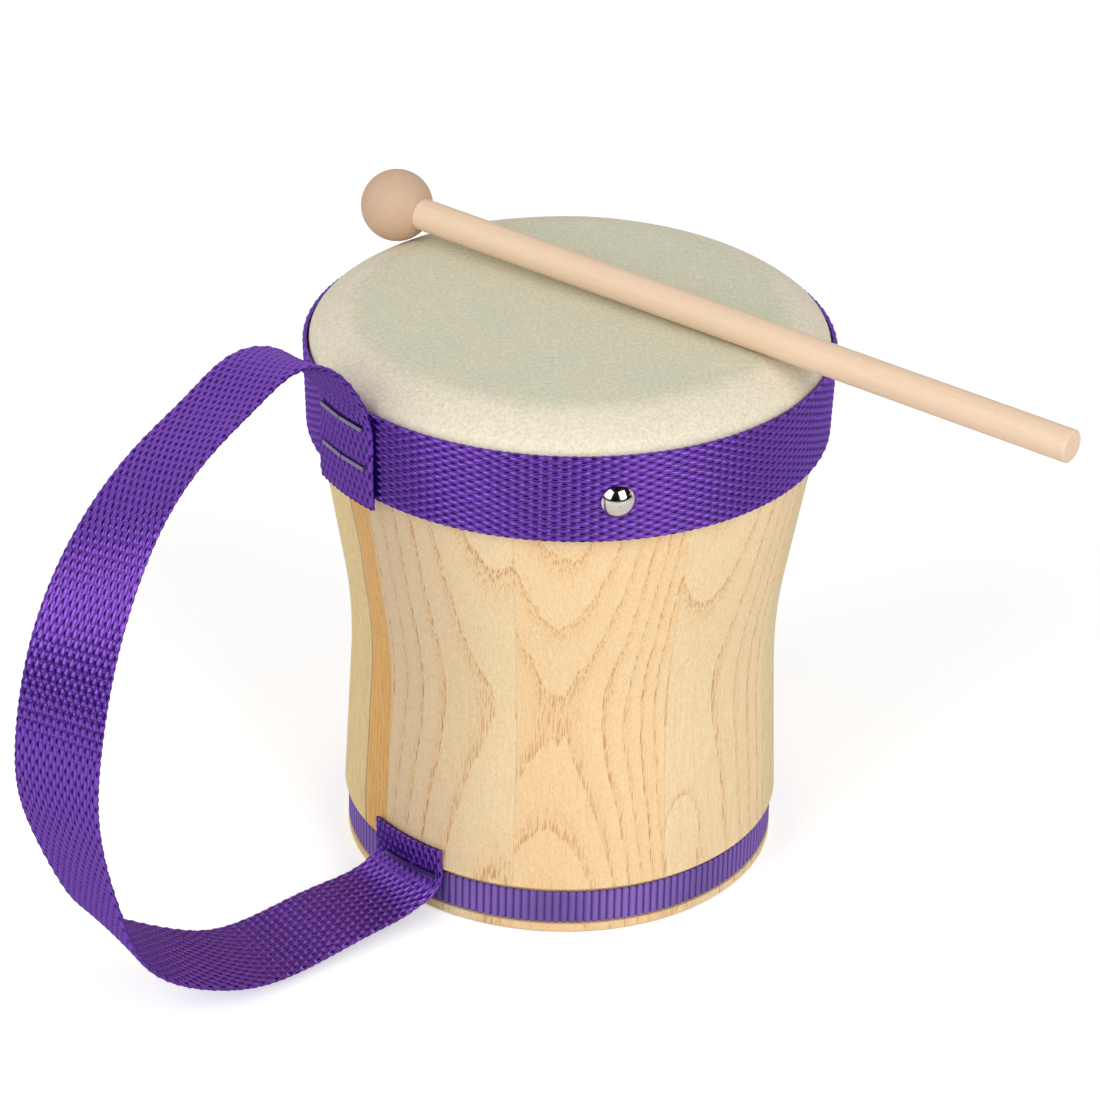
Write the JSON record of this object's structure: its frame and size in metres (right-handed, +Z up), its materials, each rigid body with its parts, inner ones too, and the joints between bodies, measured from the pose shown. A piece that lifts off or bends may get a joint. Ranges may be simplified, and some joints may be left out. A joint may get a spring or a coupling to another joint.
{
  "type": "hand drum",
  "caption": "Waisted wooden stave drum with a rawhide head, webbing bands, a webbing carry strap and a ball-ended mallet laid across the head.",
  "frame": {"origin": "centre of the open foot, on the shell's axis, in the plane that the drum stands on", "axes": "+Z up the shell's axis to the head, -Y towards the front with the visible nail, -X towards the strap's side"},
  "size_m": [0.2652, 0.2182, 0.1794],
  "materials": {
    "shell_wood": "clear satin varnish over sanded pale ring-porous wood",
    "rawhide": "dried rawhide, dull and faintly mottled",
    "webbing": "coarse plain weave of shiny filament yarn",
    "tape": "narrow ribbed weave",
    "nail_plate": "bright nickel plate",
    "staple_wire": "drawn and galvanised wire",
    "mallet_wood": "sanded, uncoated"
  },
  "bodies": {
    "drum": {"stave_1": "shell_wood", "stave_2": "shell_wood", "stave_3": "shell_wood", "stave_4": "shell_wood", "stave_5": "shell_wood", "stave_6": "shell_wood", "stave_7": "shell_wood", "stave_8": "shell_wood", "stave_9": "shell_wood", "drum_head": "rawhide", "upper_band": "webbing", "lower_band": "tape", "strap_upper_end": "webbing", "strap_lower_end": "webbing", "band_nails": "nail_plate", "skin_staples": "staple_wire", "strap_upper_staples": "staple_wire", "strap_lower_staples": "staple_wire"},
    "strap": {"strap_upper_curl": "webbing", "strap_loop": "webbing", "strap_lower_curl": "webbing"},
    "mallet": {"mallet_handle": "mallet_wood", "mallet_ball": "mallet_wood"}
  },
  "joints": [
    {"name": "strap_swing", "type": "hinge", "parent": "drum", "child": "strap", "pos_m": [-0.064, -0.0575, 0.09], "axis": [0, 0, 1], "range_deg": [-60, 60], "deforming": ["strap_upper_curl", "strap_lower_curl"]},
    {"name": "mallet_lift", "type": "slide", "parent": "drum", "child": "mallet", "axis": [0, 0, 1], "range_m": [0, 0.12]}
  ]
}
